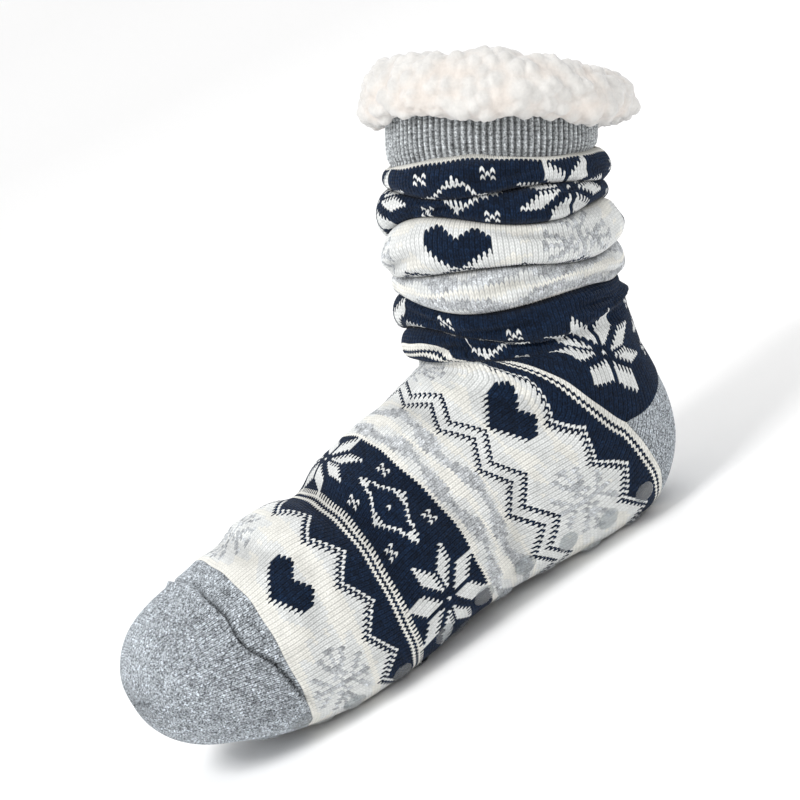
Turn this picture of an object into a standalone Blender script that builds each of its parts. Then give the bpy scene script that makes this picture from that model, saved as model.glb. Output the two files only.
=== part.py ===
"""Slipper sock: a knitted foot with a closed toe and a heel pocket, a shaft pushed down into soft folds,
a rib cuff, a roll of fleece lining turned out over the rim, and round grip dots under the sole.

The sock stands on its sole. The toe points along -Y, the heel along +Y and the shaft rises along +Z.
Lengths are in metres.
"""

import math
from collections import namedtuple

import bmesh
import bpy
import numpy as np
from mathutils import Matrix, Vector

# Main sizes
FOOT_LENGTH = 0.245
BALL_WIDTH = 0.081
ANKLE_HEIGHT = 0.095
WALL = 0.0025
GAP = 0.0003

# Shaft: its size is taken at the bottom of the creases, and the folds stand out from there
SHAFT_LENGTH = 0.086
SHAFT_WIDTH = 0.076
SHAFT_DEPTH = 0.080
SHAFT_FOOT_Y = 0.202
SHAFT_FOOT_Z = 0.0865
SHAFT_LEAN = math.radians(12)
RIM_LEAN = math.radians(28)
FOLD_HEIGHT = 0.0068
FOLD_SLIMNESS = 0.5
FOLD_DROOP = 0.0016
CUFF_STEP = 0.0010

# Linking seam over the toes, from one low corner of the toe pocket to the other. It starts on a section and
# sweeps back towards its ends by part of the way to the next one. It fades out under the corners.
TOE_SEAM_ROW = 4.85
TOE_SEAM_SWEEP = 0.6
TOE_SEAM_REACH = 3
TOE_SEAM_HALF_WIDTH = 0.15
TOE_SEAM_HEIGHT = 0.0013
TOE_SEAM_FADE = math.radians(100)
TOE_SEAM_END = math.radians(130)

# Fleece roll at the rim, fuller at the back than at the front, and the lining that runs down from it
COLLAR_HEIGHT = 0.018
COLLAR_OVERHANG = 0.005
COLLAR_OUTSIDE = 0.0130
COLLAR_UNEVEN = 0.22
LINING_THICKNESS = 0.0090
LINING_DEPTH = 0.046
LINING_TAPER = 0.008
CUFF_INSIDE_SHARE = 0.88
LOCK_HEIGHT = 0.0021
LOCKS_AROUND = 17
LOCKS_BETWEEN = 11
LOCK_TWIST = 1.9
LOCK_TWIST_BETWEEN = -4.4
LOCKS_WIDE_SHARE = 0.6
INNER_LOCK_SHIFT = 0.5

# Grip dots
DOT_RADIUS = 0.0047
DOT_TOP_SHARE = 0.72
DOT_THICKNESS = 0.0009
DOT_PITCH_LONG = 0.0215
DOT_PITCH_ACROSS = 0.0118
DOT_COLUMNS = 6
DOT_FIRST_Y = 0.034
DOT_LAST_Y = 0.226
SOLE_LIFT = DOT_THICKNESS + GAP

# Facets
AROUND = 32
FOOT_RINGS = 29
RINGS_PER_FOLD = 5
CUFF_RINGS = 3
COLLAR_AROUND = 48
DOT_SIDES = 10
SOLE_SAMPLES = 400
SLOPE_STEP = 0.02

# One row for each section from the toe to the top of the heel pocket. y and z are the top and the bottom of
# the section, as shares of the foot's length and of the ankle's height. The width is a share of the ball's.
# The roundings are the powers of the outline above and below its widest line: 2 is an ellipse.
Section = namedtuple("Section", "name top_y top_z sole_y sole_z width top_power sole_power")
SECTIONS = (
    Section("toe tip", 0.000, 0.410, 0.000, 0.410, 0.00, 2.0, 2.0),
    Section("toe front", 0.006, 0.520, 0.006, 0.300, 0.36, 2.1, 2.1),
    Section("toe end", 0.026, 0.603, 0.026, 0.216, 0.59, 2.1, 2.2),
    Section("toes", 0.058, 0.668, 0.060, 0.146, 0.76, 2.1, 2.3),
    Section("toe seam", 0.100, 0.706, 0.102, 0.094, 0.87, 2.1, 2.4),
    Section("toe cap edge", 0.150, 0.728, 0.152, 0.046, 0.94, 2.1, 2.6),
    Section("first ground", 0.208, 0.752, 0.210, 0.004, 0.98, 2.1, 2.7),
    Section("ball", 0.272, 0.798, 0.274, -0.024, 1.00, 2.1, 2.8),
    Section("first zigzag", 0.328, 0.802, 0.330, -0.028, 1.00, 2.1, 2.8),
    Section("instep trough", 0.378, 0.776, 0.382, -0.026, 0.97, 2.1, 2.8),
    Section("star band", 0.432, 0.842, 0.438, -0.014, 0.955, 2.1, 2.7),
    Section("arch", 0.506, 0.888, 0.520, 0.010, 0.93, 2.1, 2.6),
    Section("chain band", 0.570, 0.918, 0.606, 0.014, 0.91, 2.1, 2.6),
    Section("double zigzag", 0.612, 0.944, 0.690, -0.002, 0.905, 2.1, 2.6),
    Section("second ground", 0.632, 0.962, 0.765, -0.022, 0.91, 2.1, 2.6),
    Section("second zigzag", 0.643, 0.969, 0.832, -0.024, 0.92, 2.1, 2.5),
    Section("heel front", 0.650, 0.974, 0.892, -0.010, 0.935, 2.1, 2.4),
    Section("heel bottom", 0.655, 0.978, 0.945, 0.058, 0.95, 2.0, 2.2),
    Section("heel corner", 0.658, 0.981, 0.984, 0.184, 0.97, 2.0, 2.1),
    Section("heel back", 0.661, 0.984, 1.000, 0.345, 1.00, 2.0, 2.0),
    Section("heel upper", 0.663, 0.986, 0.998, 0.500, 1.03, 2.0, 2.0),
    Section("heel top", 0.664, 0.990, 0.991, 0.630, 1.06, 2.0, 2.0),
)

# One row for each crease round the shaft, from the ankle to the cuff. The places are shares of the shaft's
# length at the front, the outer side, the back and the other side. wave is how far the line swings to and fro
# between them, in three waves that start at swing. The depths are shares of the folds' height, and rise is
# how far the roll above the crease stands out, as another such share.
Crease = namedtuple(
    "Crease", "name front side back other wave swing deep_front deep_side deep_back deep_other rise"
)
CREASES = (
    Crease("ankle", 0.000, -0.046, 0.009, -0.037, 0.000, 0.0, 1.00, 0.15, 0.50, 0.30, 0.85),
    Crease("lower navy", 0.124, 0.024, 0.108, 0.082, 0.017, 1.0, 0.85, 0.20, 0.10, 0.60, 0.95),
    Crease("upper navy", 0.236, 0.148, 0.206, 0.200, 0.026, 2.6, 0.95, 0.75, 0.90, 0.85, 1.00),
    Crease("chain", 0.366, 0.300, 0.374, 0.312, 0.024, 4.4, 0.90, 1.00, 1.00, 0.90, 1.30),
    Crease("heart", 0.536, 0.520, 0.532, 0.474, 0.028, 0.4, 1.00, 1.00, 1.00, 1.00, 1.05),
    Crease("navy roll", 0.668, 0.634, 0.696, 0.650, 0.023, 3.0, 0.90, 0.85, 0.95, 1.00, 0.90),
    Crease("cuff edge", 0.781, 0.778, 0.812, 0.772, 0.013, 5.2, 0.95, 1.00, 1.00, 0.95, 0.00),
)

# Outline of the fleece, from the lower edge inside the shaft, up the knit, over the rim and back inside.
# along counts from the rim, in COLLAR_HEIGHT above it and in LINING_DEPTH or COLLAR_OVERHANG below it.
# out counts from the knit, in COLLAR_OUTSIDE outside it and in LINING_THICKNESS inside it.
CollarPoint = namedtuple("CollarPoint", "along out locks")
COLLAR_OUTER = (
    CollarPoint(-1.00, 0.22, 0.0),
    CollarPoint(-0.88, 0.66, 0.6),
    CollarPoint(-0.30, 0.93, 1.0),
    CollarPoint(0.16, 1.00, 1.0),
    CollarPoint(0.42, 0.95, 1.0),
    CollarPoint(0.66, 0.76, 1.0),
    CollarPoint(0.86, 0.44, 1.0),
    CollarPoint(0.98, 0.04, 0.8),
)
COLLAR_INNER = (
    CollarPoint(0.96, 0.36, 0.8),
    CollarPoint(0.76, 0.78, 0.8),
    CollarPoint(0.44, 1.00, 0.6),
    CollarPoint(0.00, 1.04, 0.4),
)


def catmull_rom(rows, at):
    """Values on a smooth curve through evenly numbered rows, at the given row numbers."""
    last = len(rows) - 1
    before = np.clip(np.floor(at).astype(int), 0, last - 1)
    share = (at - before)[:, None]
    p0 = rows[np.maximum(before - 1, 0)]
    p1 = rows[before]
    p2 = rows[before + 1]
    p3 = rows[np.minimum(before + 2, last)]
    straight = p1 + (p2 - p0) / 2 * share
    square = (p0 - 2.5 * p1 + 2 * p2 - 0.5 * p3) * share**2
    cube = (1.5 * (p1 - p2) + 0.5 * (p3 - p0)) * share**3
    return straight + square + cube


def signed_power(values, power):
    return np.sign(values) * np.abs(values) ** power


def around_interpolated(row, places, theta):
    """A value round the shaft from those at the front, outer side, back and other side."""
    front, side, back, other = (getattr(row, place) for place in places)
    mean = (front + side + back + other) / 4
    twice = (front + back - side - other) / 4
    turn = (front - back) / 2 * np.cos(theta) + (side - other) / 2 * np.sin(theta)
    return mean + turn + twice * np.cos(2 * theta)


def swept_rows(row_number, theta):
    """The section at each angle of one ring of the foot. The rings near the toe seam follow its sweep."""
    nearness = np.clip(1 - abs(row_number - TOE_SEAM_ROW) / TOE_SEAM_REACH, 0, 1)
    return row_number + TOE_SEAM_SWEEP * (1 - np.cos(theta)) * nearness


def toe_seam_ridge(row_number, theta):
    """Height of the seam that closes the toe, on one ring of the foot."""
    from_middle = np.clip(abs(row_number - TOE_SEAM_ROW) / TOE_SEAM_HALF_WIDTH, 0, 1)
    angle = np.abs((theta + math.pi) % (2 * math.pi) - math.pi)
    fade = np.clip((TOE_SEAM_END - angle) / (TOE_SEAM_END - TOE_SEAM_FADE), 0, 1)
    return TOE_SEAM_HEIGHT * fade * (1 - from_middle)


def section_points(row_numbers, theta, ridge=0.0):
    """Points of the outer face of the foot and heel, on sections at angles from the top."""
    rows = np.array([section[1:] for section in SECTIONS])
    curve = catmull_rom(rows, row_numbers).T
    top_y, top_z, sole_y, sole_z, width, top_power, sole_power = curve
    power = np.where(np.cos(theta) > 0, top_power, sole_power)
    half_width = np.maximum(width, 0) * BALL_WIDTH / 2 + ridge
    half_y = (top_y - sole_y) / 2 * FOOT_LENGTH
    half_z = (top_z - sole_z) / 2 * ANKLE_HEIGHT
    upward = signed_power(np.cos(theta), 2 / power)
    across = signed_power(np.sin(theta), 2 / power) * half_width
    y = (top_y + sole_y) / 2 * FOOT_LENGTH + upward * half_y
    z = (top_z + sole_z) / 2 * ANKLE_HEIGHT + upward * (half_z + ridge)
    return np.stack([across, y, np.maximum(z, 0) + SOLE_LIFT], axis=1)


def foot_points(row_number, theta):
    """Points of one ring of the foot."""
    return section_points(swept_rows(row_number, theta), theta, toe_seam_ridge(row_number, theta))


def shaft_points(share, theta, out):
    """Points at a share of the shaft's length, standing out from the bottom of its creases."""
    radius = SHAFT_LENGTH / (RIM_LEAN - SHAFT_LEAN)
    lean = SHAFT_LEAN + (RIM_LEAN - SHAFT_LEAN) * share
    centre_y = SHAFT_FOOT_Y + radius * (math.cos(SHAFT_LEAN) - np.cos(lean))
    centre_z = SHAFT_FOOT_Z + radius * (np.sin(lean) - math.sin(SHAFT_LEAN)) + SOLE_LIFT
    forward = (SHAFT_DEPTH / 2 + out) * np.cos(theta)
    across = (SHAFT_WIDTH / 2 + out) * np.sin(theta)
    return np.stack([across, centre_y - forward * np.cos(lean), centre_z + forward * np.sin(lean)], axis=1)


def crease_lines(number, theta):
    """The place and the depth of one crease at each angle. The one past the last crease is the rim."""
    if number == len(CREASES):
        return np.ones_like(theta), np.ones_like(theta)
    row = CREASES[number]
    place = around_interpolated(row, ("front", "side", "back", "other"), theta)
    place = place + row.wave * np.sin(3 * theta + row.swing)
    depth = around_interpolated(row, ("deep_front", "deep_side", "deep_back", "deep_other"), theta)
    return place, depth


def fold_ring(number, along, theta):
    """Points of one ring of the roll between two creases. along runs from 0 to 1."""
    low, low_depth = crease_lines(number, theta)
    high, high_depth = crease_lines(number + 1, theta)
    depth = low_depth + (high_depth - low_depth) * along
    rounded = (1 - math.cos(math.pi * along)) / 2
    place = low + (high - low) * (along + (rounded - along) * depth)
    height = np.minimum(FOLD_HEIGHT * CREASES[number].rise, FOLD_SLIMNESS * (high - low) * SHAFT_LENGTH)
    arch = math.sin(math.pi * along)
    out = FOLD_HEIGHT * (1 - depth) * (1 - arch) + height * arch
    droop = FOLD_DROOP * (out / FOLD_HEIGHT) ** 2 / SHAFT_LENGTH
    return shaft_points(place - droop, theta, out)


def cuff_ring(along, theta):
    """Points of one ring of the rib cuff, which stands a step out from its crease."""
    low, _ = crease_lines(len(CREASES) - 1, theta)
    out = CUFF_STEP * min(1, along * CUFF_RINGS) * np.ones_like(theta)
    return shaft_points(low + (1 - low) * along, theta, out)


def foot_rows():
    """The rings of the foot as row numbers: even ones, and three across the toe seam."""
    even = np.linspace(0, len(SECTIONS) - 1, FOOT_RINGS + 1)[1:]
    seam = TOE_SEAM_ROW + np.array([-TOE_SEAM_HALF_WIDTH, 0, TOE_SEAM_HALF_WIDTH])
    clear = even[np.abs(even - TOE_SEAM_ROW) > 2 * TOE_SEAM_HALF_WIDTH]
    return np.sort(np.concatenate([clear, seam]))


def outer_rings():
    """The outer face of the knit as rings of points, from the toe tip to the rim."""
    theta = np.arange(AROUND) * 2 * math.pi / AROUND
    rings = [foot_points(row, theta) for row in foot_rows()]
    for number in range(len(CREASES) - 1):
        for step in range(RINGS_PER_FOLD):
            rings.append(fold_ring(number, step / RINGS_PER_FOLD, theta))
    for step in range(CUFF_RINGS + 1):
        rings.append(cuff_ring(step / CUFF_RINGS, theta))
    return np.array(rings)


def outward_normals(rings, tip):
    """Unit normals of a grid of rings, which run from the tip to the open end."""
    before = np.concatenate([np.broadcast_to(tip, rings[:1].shape), rings[:-1]])
    after = np.concatenate([rings[1:], rings[-1:]])
    along = after - before
    around = np.roll(rings, -1, axis=1) - np.roll(rings, 1, axis=1)
    normals = np.cross(around, along)
    return normals / np.linalg.norm(normals, axis=2, keepdims=True)


def new_object(name, bm, material):
    bmesh.ops.recalc_face_normals(bm, faces=bm.faces)
    mesh = bpy.data.meshes.new(name)
    bm.to_mesh(mesh)
    bm.free()
    mesh.materials.append(material)
    mesh.shade_smooth()
    mesh.set_sharp_from_angle(angle=math.radians(50))
    obj = bpy.data.objects.new(name, mesh)
    bpy.context.scene.collection.objects.link(obj)
    return obj


def principled(name, color, roughness):
    material = bpy.data.materials.new(name)
    material.use_nodes = True
    shader = material.node_tree.nodes["Principled BSDF"]
    shader.inputs["Base Color"].default_value = (*color, 1)
    shader.inputs["Roughness"].default_value = roughness
    shader.inputs["Metallic"].default_value = 0
    return material


def bridge(bm, first, second):
    """Quads between two closed rings of as many vertices."""
    for i in range(len(first)):
        j = (i + 1) % len(first)
        bm.faces.new((first[i], first[j], second[j], second[i]))


def fan(bm, tip, ring):
    for i in range(len(ring)):
        bm.faces.new((tip, ring[i], ring[(i + 1) % len(ring)]))


def add_shell_face(bm, tip, rings):
    """One face of the knit, closed at the toe. Returns its ring at the rim."""
    loops = [[bm.verts.new(point) for point in ring] for ring in rings]
    fan(bm, bm.verts.new(tip), loops[0])
    for first, second in zip(loops, loops[1:]):
        bridge(bm, first, second)
    return loops[-1]


def knit_upper():
    """The whole knit as one hollow wall: toe, foot, heel pocket, folded shaft and rib cuff."""
    outer = outer_rings()
    tip = foot_points(0, np.zeros(1))[0]
    inner = outer - WALL * outward_normals(outer, tip)
    inner_tip = tip + np.array([0, WALL, 0])
    bm = bmesh.new()
    outer_rim = add_shell_face(bm, tip, outer)
    inner_rim = add_shell_face(bm, inner_tip, inner)
    bridge(bm, outer_rim, inner_rim)
    return new_object("knit_upper", bm, principled("knit", (0.62, 0.64, 0.67), 0.9))


def locks(theta, row):
    """Unevenness of the fleece's curls, from -1 to 1."""
    wide = np.sin(LOCKS_AROUND * theta + LOCK_TWIST * row)
    between = np.sin(LOCKS_BETWEEN * theta + LOCK_TWIST_BETWEEN * row)
    return LOCKS_WIDE_SHARE * wide + (1 - LOCKS_WIDE_SHARE) * between


def collar_ring(share, out, theta):
    return shaft_points(np.full_like(theta, share), theta, out)


def sherpa_collar():
    """The fleece lining, turned out over the rim as a thick roll, with its locks as low bumps."""
    theta = np.arange(COLLAR_AROUND) * 2 * math.pi / COLLAR_AROUND
    flat = np.zeros_like(theta)
    knit_inside = CUFF_STEP - WALL - GAP
    lining_inside = -WALL - GAP - LINING_THICKNESS
    low = 1 - LINING_DEPTH / SHAFT_LENGTH
    full = low + LINING_TAPER / SHAFT_LENGTH
    rings = [
        collar_ring(low, flat - WALL - GAP - LINING_THICKNESS / 3, theta),
        collar_ring(full, flat - WALL - GAP, theta),
        collar_ring(CUFF_INSIDE_SHARE, flat - WALL - GAP, theta),
        collar_ring(1 + GAP / SHAFT_LENGTH, flat + knit_inside, theta),
        collar_ring(1 + GAP / SHAFT_LENGTH, flat + CUFF_STEP + GAP, theta),
    ]
    fullness = 1 - COLLAR_UNEVEN * np.cos(theta)
    for number, point in enumerate(COLLAR_OUTER):
        reach = COLLAR_OVERHANG if point.along < 0 else COLLAR_HEIGHT
        out = CUFF_STEP + GAP + COLLAR_OUTSIDE * point.out * fullness
        out += LOCK_HEIGHT * point.locks * locks(theta, number)
        rings.append(collar_ring(1 + reach * point.along / SHAFT_LENGTH, out, theta))
    for number, point in enumerate(COLLAR_INNER):
        depth = LOCK_HEIGHT * point.locks * locks(theta, number + INNER_LOCK_SHIFT) / 2
        out = lining_inside * point.out - depth
        rings.append(collar_ring(1 + COLLAR_HEIGHT * point.along / SHAFT_LENGTH, out, theta))
    rings.append(collar_ring(full, flat + lining_inside, theta))
    bm = bmesh.new()
    loops = [[bm.verts.new(point) for point in ring] for ring in rings]
    for first, second in zip(loops, loops[1:] + loops[:1]):
        bridge(bm, first, second)
    return new_object("sherpa_collar", bm, principled("sherpa", (0.88, 0.86, 0.82), 0.95))


def dot_mesh():
    """A low dome of silicone, which grips with its flat bottom. Its local Z points away from the sock."""
    bm = bmesh.new()
    bmesh.ops.create_cone(
        bm,
        cap_ends=True,
        segments=DOT_SIDES,
        radius1=DOT_RADIUS,
        radius2=DOT_RADIUS * DOT_TOP_SHARE,
        depth=DOT_THICKNESS,
        matrix=Matrix.Translation((0, 0, DOT_THICKNESS / 2)),
    )
    mesh = bpy.data.meshes.new("grip_dot")
    bm.to_mesh(mesh)
    bm.free()
    mesh.materials.append(principled("silicone", (0.62, 0.70, 0.76), 0.3))
    mesh.shade_smooth()
    mesh.set_sharp_from_angle(angle=math.radians(30))
    return mesh


def sole_place(y, x):
    """The point of the sole at a length and a width, and the direction straight out of the knit there."""
    rows = np.array([section[1:] for section in SECTIONS])
    numbers = np.linspace(0, len(SECTIONS) - 1, SOLE_SAMPLES)
    curves = catmull_rom(rows, numbers)
    row = float(np.interp(y / FOOT_LENGTH, curves[:, 2], numbers))
    width = np.interp(row, numbers, curves[:, 4]) * BALL_WIDTH / 2
    power = np.interp(row, numbers, curves[:, 6])
    turn = math.asin(min(abs(x) / width, 1) ** (power / 2))
    theta = math.pi - math.copysign(turn, x)
    step_rows = np.array([0, -SLOPE_STEP, SLOPE_STEP, 0, 0])
    step_theta = np.array([0, 0, 0, -SLOPE_STEP, SLOPE_STEP])
    point, before, after, left, right = section_points(row + step_rows, theta + step_theta)
    return Vector(point), above_floor(point, Vector(np.cross(right - left, after - before)).normalized())


def above_floor(point, normal):
    """The direction out of the knit, turned down until a dot there keeps its whole face off the floor."""
    most = min(1, (point[2] - SOLE_LIFT) / (DOT_RADIUS * DOT_TOP_SHARE))
    level = Vector((normal.x, normal.y, 0))
    if level.length <= most:
        return normal
    level = level.normalized() * most
    return Vector((level.x, level.y, -math.sqrt(1 - most**2)))


def grip_dots():
    """Staggered columns of dots under the sole, the outer ones on its rounded edges."""
    mesh = dot_mesh()
    number = 0
    for column in range(DOT_COLUMNS):
        x = (column - (DOT_COLUMNS - 1) / 2) * DOT_PITCH_ACROSS
        y = DOT_FIRST_Y + (column % 2) * DOT_PITCH_LONG / 2
        while y <= DOT_LAST_Y:
            point, normal = sole_place(y, x)
            obj = bpy.data.objects.new(f"grip_dot_{number:02d}", mesh)
            turn = normal.to_track_quat("Z", "Y").to_matrix().to_4x4()
            obj.matrix_world = Matrix.Translation(point + normal * GAP) @ turn
            bpy.context.scene.collection.objects.link(obj)
            number += 1
            y += DOT_PITCH_LONG


def centre_over_origin():
    """Shifts every object, so that the origin is on the floor under the middle of the sock's box."""
    bpy.context.view_layer.update()
    objects = list(bpy.context.scene.collection.objects)
    corners = np.array([obj.matrix_world @ vertex.co for obj in objects for vertex in obj.data.vertices])
    middle = (corners.min(axis=0) + corners.max(axis=0)) / 2
    for obj in objects:
        obj.location -= Vector((middle[0], middle[1], 0))


def main():
    for obj in list(bpy.data.objects):
        bpy.data.objects.remove(obj, do_unlink=True)
    knit_upper()
    sherpa_collar()
    grip_dots()
    centre_over_origin()


main()
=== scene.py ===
"""Slipper sock standing on its sole: stitched knit with its colourwork, fleece roll and lining, grip dots.

Lengths are in metres. The toe points along -Y, the heel along +Y and the shaft rises along +Z.
"""

import math
from collections import namedtuple

import bpy
import numpy as np
from mathutils import Matrix, Vector, noise


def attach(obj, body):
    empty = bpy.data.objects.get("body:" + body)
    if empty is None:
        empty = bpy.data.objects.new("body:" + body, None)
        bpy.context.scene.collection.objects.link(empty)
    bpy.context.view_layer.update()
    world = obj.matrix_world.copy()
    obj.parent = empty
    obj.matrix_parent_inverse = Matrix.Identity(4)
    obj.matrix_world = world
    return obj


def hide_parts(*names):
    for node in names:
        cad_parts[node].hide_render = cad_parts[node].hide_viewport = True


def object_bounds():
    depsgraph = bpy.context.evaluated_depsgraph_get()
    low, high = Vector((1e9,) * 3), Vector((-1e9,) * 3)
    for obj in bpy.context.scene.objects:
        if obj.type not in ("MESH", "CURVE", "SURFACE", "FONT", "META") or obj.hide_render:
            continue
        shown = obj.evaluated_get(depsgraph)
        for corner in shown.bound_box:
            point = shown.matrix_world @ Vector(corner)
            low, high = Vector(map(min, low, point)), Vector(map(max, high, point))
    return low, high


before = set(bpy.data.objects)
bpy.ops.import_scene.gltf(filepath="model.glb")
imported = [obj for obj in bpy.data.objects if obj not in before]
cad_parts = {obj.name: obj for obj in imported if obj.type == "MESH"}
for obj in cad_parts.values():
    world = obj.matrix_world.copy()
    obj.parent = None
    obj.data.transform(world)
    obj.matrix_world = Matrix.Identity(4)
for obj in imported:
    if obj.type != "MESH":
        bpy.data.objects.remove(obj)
CAD_LOW, CAD_HIGH = [np.array(corner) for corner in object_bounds()]
noise.seed_set(7)

# Sizes of the sock, as in the part
FOOT_LENGTH = 0.245
BALL_WIDTH = 0.081
ANKLE_HEIGHT = 0.095
WALL = 0.0025
GAP = 0.0003
SHAFT_LENGTH = 0.086
SHAFT_WIDTH = 0.076
SHAFT_DEPTH = 0.080
SHAFT_FOOT_Y = 0.202
SHAFT_FOOT_Z = 0.0865
SHAFT_LEAN = math.radians(12)
RIM_LEAN = math.radians(28)
FOLD_HEIGHT = 0.0068
FOLD_SLIMNESS = 0.5
FOLD_DROOP = 0.0016
CUFF_STEP = 0.0010
CUFF_STEP_RISE = 3
TOE_SEAM_ROW = 4.85
TOE_SEAM_SWEEP = 0.6
TOE_SEAM_HALF_WIDTH = 0.15
TOE_SEAM_HEIGHT = 0.0013
TOE_SEAM_FADE = math.radians(100)
TOE_SEAM_END = math.radians(130)
SEAM_BULGE = 1.6
SEAM_BULGE_ANGLE = math.radians(74)
SEAM_BULGE_REACH = math.radians(26)
SEAM_WAVE = 0.35
SEAM_START = math.radians(38)
COLLAR_HEIGHT = 0.018
COLLAR_OVERHANG = 0.005
COLLAR_OUTSIDE = 0.0130
COLLAR_UNEVEN = 0.22
LINING_THICKNESS = 0.0090
LINING_DEPTH = 0.046
DOT_RADIUS = 0.0047
DOT_TOP_SHARE = 0.72
DOT_THICKNESS = 0.0009
DOT_PITCH_LONG = 0.0215
DOT_PITCH_ACROSS = 0.0118
DOT_COLUMNS = 6
DOT_FIRST_Y = 0.034
DOT_LAST_Y = 0.226
SOLE_LIFT = DOT_THICKNESS + GAP
TOE_Y = CAD_LOW[1]

# Groove beside the toe seam. Its place and wave are in half widths of the seam.
GROOVE_PLACE, GROOVE_WAVE = 1.0, 0.4
GROOVE_DEPTH, GROOVE_SLIMNESS = 0.0017, 2.6
GROOVE_SHADE, GROOVE_SHADE_SLIMNESS = 0.78, 3.2
GROOVE_TOP_SHARE = 0.25

# Knit: 144 wales around, with a pattern that repeats every 48, and four columns of points to a wale
WALES = 144
REPEAT = 48
WALE_COLUMNS = 4
COLUMNS = WALES * WALE_COLUMNS
COURSE = 0.0013
WALE_WIDTH = 0.0015
STITCH_HEIGHT = 0.00042
LEAST_RELIEF = 0.1
GATHER_WIDTH = 0.09
FOOT_SHIFT = -10
SHAFT_SHIFT = -5
ANKLE_STAR_COURSE = 18

# Each stitch is a V of two plump legs: how high its four columns are, how much painted light each gets, with
# painted shade in the gaps between the legs, and how far up the row each lies
LEG_HEIGHTS = np.array([0.0, 1.0, 0.35, 1.0])
LEG_PAINTED_LIGHTS = np.array([0.0, 1.0, 0.45, 1.0])
LEG_TIPS = np.array([0.0, 0.5, 1.0, 0.5])
LEG_SLANT = 0.85

# Unevenness of the fabric: slow waves of its rows and wales, and soft swells
ROW_WAVES = ((0.020, 1.7, 5, 0), (0.014, -2.9, 13, 1))
WALE_WAVES = ((0.005, 1.3, 4, 0), (0.003, 3.1, -7, 2))
SWELL_HEIGHT = 0.0005
SWELL_SCALE = 45
TIP_FADE_END = 0.8
LOWEST_KNIT = 0.0004

# Light lost in creases: at the shaft's creases, at the cuff's edge, and per metre of depth in softer dents
CREASE_SHADE = 0.86
CUFF_EDGE_SHADE = 0.45
CREASE_SHADE_WIDTH = 0.10
CREASE_SHADE_GAIN = 2.0
CREASE_SHADE_START = 0.25
DENT_SHADE = 170

# Sampling of the surface, in points
RING_SAMPLES = 513
BAND_SAMPLES = 181
TRACK_SAMPLES = 300
SOLE_SAMPLES = 400
LINE_ROUNDS = 8
LINE_START_HEIGHT = 9.0
ANGLE_STEP = 0.02
TINY = 1e-9

# Linear colours of the yarns
NAVY = (0.0062, 0.0170, 0.0430)
WHITE = (0.90, 0.89, 0.835)
COOL_WHITE = (0.85, 0.865, 0.855)
PALE_GREY = (0.55, 0.57, 0.59)
GREY = (0.49, 0.53, 0.57)
RIB_GREY = (0.50, 0.525, 0.54)
FLEECE = (0.645, 0.63, 0.605)
# A warmer tone of the fleece, also used as warm painted shade in the crevices between its locks
WARM_FLEECE_AND_SHADE = (0.70, 0.605, 0.53)

# Sections of the foot: top y, top z, sole y, sole z, width, power of the top's curve and of the sole's
SECTIONS = (
    ("toe tip", 0.000, 0.410, 0.000, 0.410, 0.00, 2.0, 2.0),
    ("toe front", 0.006, 0.520, 0.006, 0.300, 0.36, 2.1, 2.1),
    ("toe end", 0.026, 0.603, 0.026, 0.216, 0.59, 2.1, 2.2),
    ("toes", 0.058, 0.668, 0.060, 0.146, 0.76, 2.1, 2.3),
    ("toe seam", 0.100, 0.706, 0.102, 0.094, 0.87, 2.1, 2.4),
    ("toe cap edge", 0.150, 0.728, 0.152, 0.046, 0.94, 2.1, 2.6),
    ("first ground", 0.208, 0.752, 0.210, 0.004, 0.98, 2.1, 2.7),
    ("ball", 0.272, 0.798, 0.274, -0.024, 1.00, 2.1, 2.8),
    ("first zigzag", 0.328, 0.802, 0.330, -0.028, 1.00, 2.1, 2.8),
    ("instep trough", 0.378, 0.776, 0.382, -0.026, 0.97, 2.1, 2.8),
    ("star band", 0.432, 0.842, 0.438, -0.014, 0.955, 2.1, 2.7),
    ("arch", 0.506, 0.888, 0.520, 0.010, 0.93, 2.1, 2.6),
    ("chain band", 0.570, 0.918, 0.606, 0.014, 0.91, 2.1, 2.6),
    ("double zigzag", 0.612, 0.944, 0.690, -0.002, 0.905, 2.1, 2.6),
    ("second ground", 0.632, 0.962, 0.765, -0.022, 0.91, 2.1, 2.6),
    ("second zigzag", 0.643, 0.969, 0.832, -0.024, 0.92, 2.1, 2.5),
    ("heel front", 0.650, 0.974, 0.892, -0.010, 0.935, 2.1, 2.4),
    ("heel bottom", 0.655, 0.978, 0.945, 0.058, 0.95, 2.0, 2.2),
    ("heel corner", 0.658, 0.981, 0.984, 0.184, 0.97, 2.0, 2.1),
    ("heel back", 0.661, 0.984, 1.000, 0.345, 1.00, 2.0, 2.0),
    ("heel upper", 0.663, 0.986, 0.998, 0.500, 1.03, 2.0, 2.0),
    ("heel top", 0.664, 0.990, 0.991, 0.630, 1.06, 2.0, 2.0),
)
SECTION_ROWS = np.array([section[1:] for section in SECTIONS])
LAST_SECTION = len(SECTIONS) - 1

# Creases of the shaft: place at the front, side, back and other side, wave and its start, depths, rise
CREASES = (
    ("ankle", 0.000, -0.046, 0.009, -0.037, 0.000, 0.0, 1.00, 0.15, 0.50, 0.30, 0.85),
    ("lower navy", 0.124, 0.024, 0.108, 0.082, 0.017, 1.0, 0.85, 0.20, 0.10, 0.60, 0.95),
    ("upper navy", 0.236, 0.148, 0.206, 0.200, 0.026, 2.6, 0.95, 0.75, 0.90, 0.85, 1.00),
    ("chain", 0.366, 0.300, 0.374, 0.312, 0.024, 4.4, 0.90, 1.00, 1.00, 0.90, 1.30),
    ("heart", 0.536, 0.520, 0.532, 0.474, 0.028, 0.4, 1.00, 1.00, 1.00, 1.00, 1.05),
    ("navy roll", 0.668, 0.634, 0.696, 0.650, 0.023, 3.0, 0.90, 0.85, 0.95, 1.00, 0.90),
    ("cuff edge", 0.781, 0.778, 0.812, 0.772, 0.013, 5.2, 0.95, 1.00, 1.00, 0.95, 0.00),
)
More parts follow.
